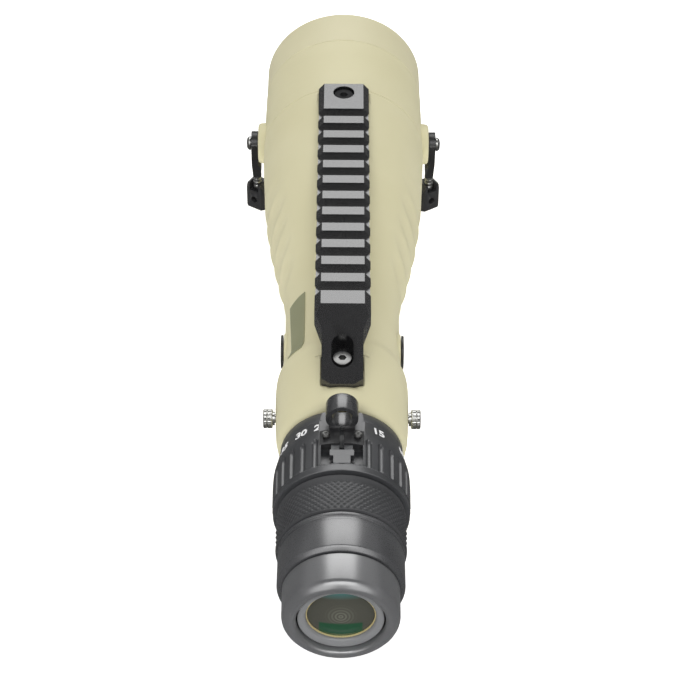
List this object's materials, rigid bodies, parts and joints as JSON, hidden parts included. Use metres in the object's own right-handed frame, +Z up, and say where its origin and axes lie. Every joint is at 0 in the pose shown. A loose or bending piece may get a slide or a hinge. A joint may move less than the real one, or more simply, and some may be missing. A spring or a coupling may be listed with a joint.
{
  "type": "spotting scope",
  "caption": "Straight-through spotting scope with a tan tapered body, a slotted accessory rail, strap swivels, a zoom eyepiece with throw lever and a sliding sunshade.",
  "frame": {"origin": "middle of the mounting foot's flat underside", "axes": "+Y along the optical axis towards the view, +Z up towards the accessory rail, +X to the right seen from the eyepiece"},
  "size_m": [0.0866, 0.322, 0.0813],
  "materials": {
    "tan": "tan rubber-armour paint, soft satin",
    "black": "black anodised, satin",
    "grey": "dark grey anodised, satin",
    "rubber": "grey-black moulded rubber",
    "steel": "bright plated steel",
    "plastic": "black moulded plastic",
    "olive": "olive-grey blank plate",
    "inner": "flat black, to stop stray light",
    "glass": "coated optical glass"
  },
  "bodies": {
    "body": {"body_shell": "tan", "front_housing": "tan", "housing_seal": "rubber", "objective_cell": "inner", "objective_lens_rear": "glass", "objective_spacer": "black", "objective_lens_front": "glass", "objective_retaining_ring": "black", "light_baffle": "inner", "prism_cage": "inner", "roof_prism": "glass", "half_prism": "glass", "field_stop": "inner", "rail": "black", "rail_screw_front": "black", "rail_screw_rear": "steel", "mounting_foot": "black", "foot_screw_front": "black", "foot_screw_rear": "black", "label_plate": "olive", "port_cap_left": "plastic", "port_cap_right": "plastic", "swivel_screw_left": "steel", "swivel_screw_right": "steel", "eyepiece_tube": "black"},
    "sunshade": {"sunshade": "tan"},
    "focus_ring": {"focus_ring": "grey"},
    "focus_slide": {"focus_nut": "steel", "focus_push_rod": "steel", "focus_cell": "inner", "focus_lens": "glass"},
    "zoom_ring": {"zoom_ring": "grey", "throw_lever": "black", "lever_screw_left": "steel", "lever_screw_right": "steel", "zoom_drive_pin": "steel", "zoom_cam_sleeve": "steel"},
    "zoom_front": {"zoom_cell_front": "black", "zoom_lens_front": "glass"},
    "zoom_rear": {"zoom_cell_rear": "black", "zoom_lens_rear": "glass"},
    "dioptre_ring": {"dioptre_ring": "grey"},
    "eye_group": {"eye_cell": "black", "field_lens": "glass", "eye_lens": "glass", "eye_lens_retainer": "black"},
    "eyecup": {"eyecup": "rubber"},
    "thumbscrew_left": {"thumbscrew_left": "steel"},
    "thumbscrew_right": {"thumbscrew_right": "steel"},
    "swivel_left": {"swivel_arm_left": "black", "swivel_pin_left": "steel"},
    "swivel_right": {"swivel_arm_right": "black", "swivel_pin_right": "steel"},
    "keeper_left": {"keeper_left": "plastic"},
    "keeper_right": {"keeper_right": "plastic"}
  },
  "joints": [
    {"name": "sunshade_slide", "type": "slide", "parent": "body", "child": "sunshade", "axis": [0, 1, 0], "range_m": [0, 0.018]},
    {"name": "zoom_turn", "type": "hinge", "parent": "body", "child": "zoom_ring", "pos_m": [0, -0.124, 0.043], "axis": [0, 1, 0], "range_deg": [-84, 88]},
    {"name": "zoom_front_slide", "type": "slide", "parent": "body", "child": "zoom_front", "axis": [0, 1, 0], "range_m": [-0.00585, 0.00558]},
    {"name": "zoom_rear_slide", "type": "slide", "parent": "body", "child": "zoom_rear", "axis": [0, 1, 0], "range_m": [-0.00367, 0.00385]},
    {"name": "focus_turn", "type": "hinge", "parent": "body", "child": "focus_ring", "pos_m": [0, -0.149, 0.043], "axis": [0, 1, 0], "range_deg": [-150, 150]},
    {"name": "focus_cell_slide", "type": "slide", "parent": "body", "child": "focus_slide", "axis": [0, 1, 0], "range_m": [-0.00301, 0.00301]},
    {"name": "dioptre_turn", "type": "hinge", "parent": "body", "child": "dioptre_ring", "pos_m": [0, -0.166, 0.043], "axis": [0, 1, 0], "range_deg": [-90, 90]},
    {"name": "eye_lens_slide", "type": "slide", "parent": "body", "child": "eye_group", "axis": [0, 1, 0], "range_m": [-0.00121, 0.00121]},
    {"name": "eyecup_slide", "type": "slide", "parent": "body", "child": "eyecup", "axis": [0, -1, 0], "range_m": [0, 0.007]},
    {"name": "thumbscrew_left_turn", "type": "hinge", "parent": "body", "child": "thumbscrew_left", "pos_m": [-0.0281, -0.09, 0.043], "axis": [-1, 0, 0], "range_deg": [0, 720]},
    {"name": "swivel_left_swing", "type": "hinge", "parent": "body", "child": "swivel_left", "pos_m": [-0.0391, 0.084, 0.0413], "axis": [1, 0, 0], "range_deg": [-50, 50]},
    {"name": "keeper_left_turn", "type": "hinge", "parent": "swivel_left", "child": "keeper_left", "pos_m": [-0.0384, 0.084, 0.02], "axis": [0, 0, 1], "range_deg": [-40, 40]},
    {"name": "thumbscrew_right_turn", "type": "hinge", "parent": "body", "child": "thumbscrew_right", "pos_m": [0.0281, -0.09, 0.043], "axis": [1, 0, 0], "range_deg": [0, 720]},
    {"name": "swivel_right_swing", "type": "hinge", "parent": "body", "child": "swivel_right", "pos_m": [0.0391, 0.084, 0.0413], "axis": [1, 0, 0], "range_deg": [-50, 50]},
    {"name": "keeper_right_turn", "type": "hinge", "parent": "swivel_right", "child": "keeper_right", "pos_m": [0.0384, 0.084, 0.02], "axis": [0, 0, 1], "range_deg": [-40, 40]}
  ],
  "couplings": [
    {"joint": "zoom_front_slide", "follows": "zoom_turn", "m_per_rad": -0.0038},
    {"joint": "zoom_rear_slide", "follows": "zoom_turn", "m_per_rad": 0.0025},
    {"joint": "focus_cell_slide", "follows": "focus_turn", "m_per_rad": 0.0011459},
    {"joint": "eye_lens_slide", "follows": "dioptre_turn", "m_per_rad": 0.00076394}
  ]
}
